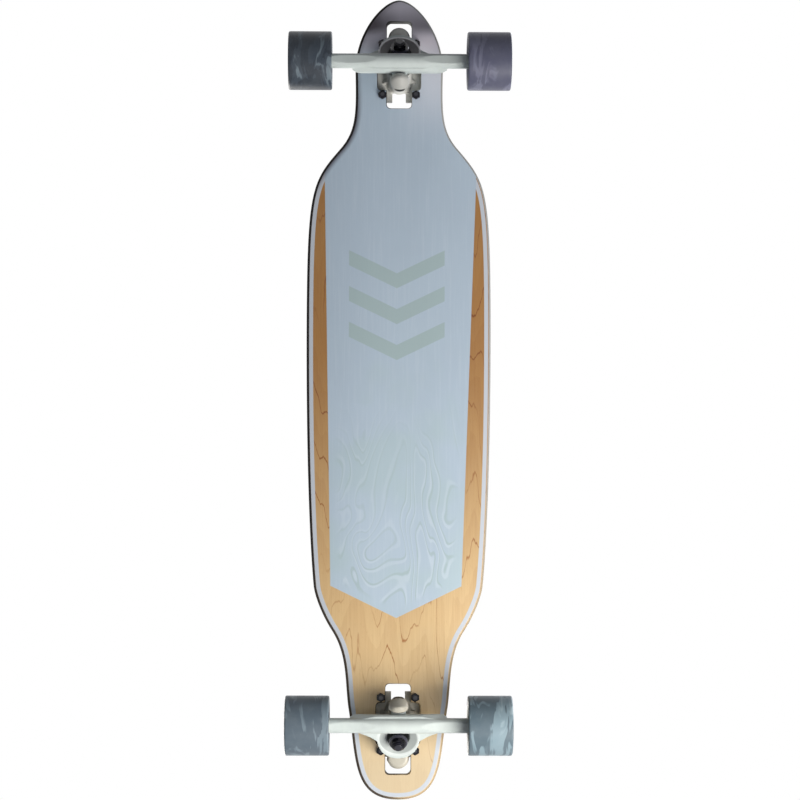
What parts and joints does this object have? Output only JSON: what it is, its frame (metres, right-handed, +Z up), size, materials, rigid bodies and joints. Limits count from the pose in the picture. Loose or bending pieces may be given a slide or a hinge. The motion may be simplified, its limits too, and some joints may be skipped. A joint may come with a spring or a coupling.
{
  "type": "longboard skateboard",
  "caption": "Drop-through longboard with a dished maple deck, pinched ends, reverse-kingpin trucks that steer against sprung bushings, and free-rolling urethane wheels.",
  "frame": {"origin": "middle of the board's length and width, on the ground under the wheels", "axes": "+X along the board towards the nose, +Y to the rider's left, +Z up from the ground"},
  "size_m": [0.976, 0.267, 0.1113],
  "materials": {
    "maple": "lacquered maple with a printed pale panel underneath",
    "grip": "black abrasive grip sheet",
    "truck_paint": "cast alloy with a pale semi-gloss coat",
    "black_steel": "black oxide steel",
    "black_urethane": "black cast urethane",
    "axle_steel": "zinc-plated steel",
    "bearing_steel": "ground bearing steel with pressed shields",
    "wheel_urethane": "marbled blue-grey urethane",
    "wheel_core": "dark moulded hub"
  },
  "bodies": {
    "board": {"deck": "maple", "grip_tape": "grip", "front_baseplate": "truck_paint", "front_pivot_cup": "black_urethane", "front_board_bushing": "black_urethane", "front_road_bushing": "black_urethane", "front_seat_washer": "black_steel", "front_cup_washer": "black_steel", "front_kingpin": "black_steel", "front_kingpin_nut": "black_steel", "front_mount_bolts": "black_steel", "front_mount_nuts": "black_steel", "rear_baseplate": "truck_paint", "rear_pivot_cup": "black_urethane", "rear_board_bushing": "black_urethane", "rear_road_bushing": "black_urethane", "rear_seat_washer": "black_steel", "rear_cup_washer": "black_steel", "rear_kingpin": "black_steel", "rear_kingpin_nut": "black_steel", "rear_mount_bolts": "black_steel", "rear_mount_nuts": "black_steel"},
    "front_truck": {"front_hanger": "truck_paint", "front_axle": "axle_steel", "front_axle_nuts": "axle_steel", "front_speed_washers": "axle_steel", "front_inner_races": "bearing_steel", "front_spacers": "bearing_steel"},
    "rear_truck": {"rear_hanger": "truck_paint", "rear_axle": "axle_steel", "rear_axle_nuts": "axle_steel", "rear_speed_washers": "axle_steel", "rear_inner_races": "bearing_steel", "rear_spacers": "bearing_steel"},
    "front_left_roller": {"front_left_wheel": "wheel_urethane", "front_left_core": "wheel_core", "front_left_outer_races": "bearing_steel"},
    "front_right_roller": {"front_right_wheel": "wheel_urethane", "front_right_core": "wheel_core", "front_right_outer_races": "bearing_steel"},
    "rear_left_roller": {"rear_left_wheel": "wheel_urethane", "rear_left_core": "wheel_core", "rear_left_outer_races": "bearing_steel"},
    "rear_right_roller": {"rear_right_wheel": "wheel_urethane", "rear_right_core": "wheel_core", "rear_right_outer_races": "bearing_steel"}
  },
  "joints": [
    {"name": "front_steer", "type": "hinge", "parent": "board", "child": "front_truck", "pos_m": [0.41143, 0, 0.06638], "axis": [0.8192, 0, 0.5736], "range_deg": [-15, 15], "stiffness_Nm_per_rad": 60, "deforming": ["front_board_bushing", "front_road_bushing"]},
    {"name": "rear_steer", "type": "hinge", "parent": "board", "child": "rear_truck", "pos_m": [-0.40873, 0, 0.06638], "axis": [0.8192, 0, -0.5736], "range_deg": [-15, 15], "stiffness_Nm_per_rad": 60, "deforming": ["rear_board_bushing", "rear_road_bushing"]},
    {"name": "front_left_spin", "type": "hinge", "parent": "front_truck", "child": "front_left_roller", "pos_m": [0.398, 0.103, 0.035], "axis": [0, 1, 0], "continuous": true},
    {"name": "front_right_spin", "type": "hinge", "parent": "front_truck", "child": "front_right_roller", "pos_m": [0.398, -0.103, 0.035], "axis": [0, 1, 0], "continuous": true},
    {"name": "rear_left_spin", "type": "hinge", "parent": "rear_truck", "child": "rear_left_roller", "pos_m": [-0.3953, 0.103, 0.035], "axis": [0, 1, 0], "continuous": true},
    {"name": "rear_right_spin", "type": "hinge", "parent": "rear_truck", "child": "rear_right_roller", "pos_m": [-0.3953, -0.103, 0.035], "axis": [0, 1, 0], "continuous": true}
  ]
}
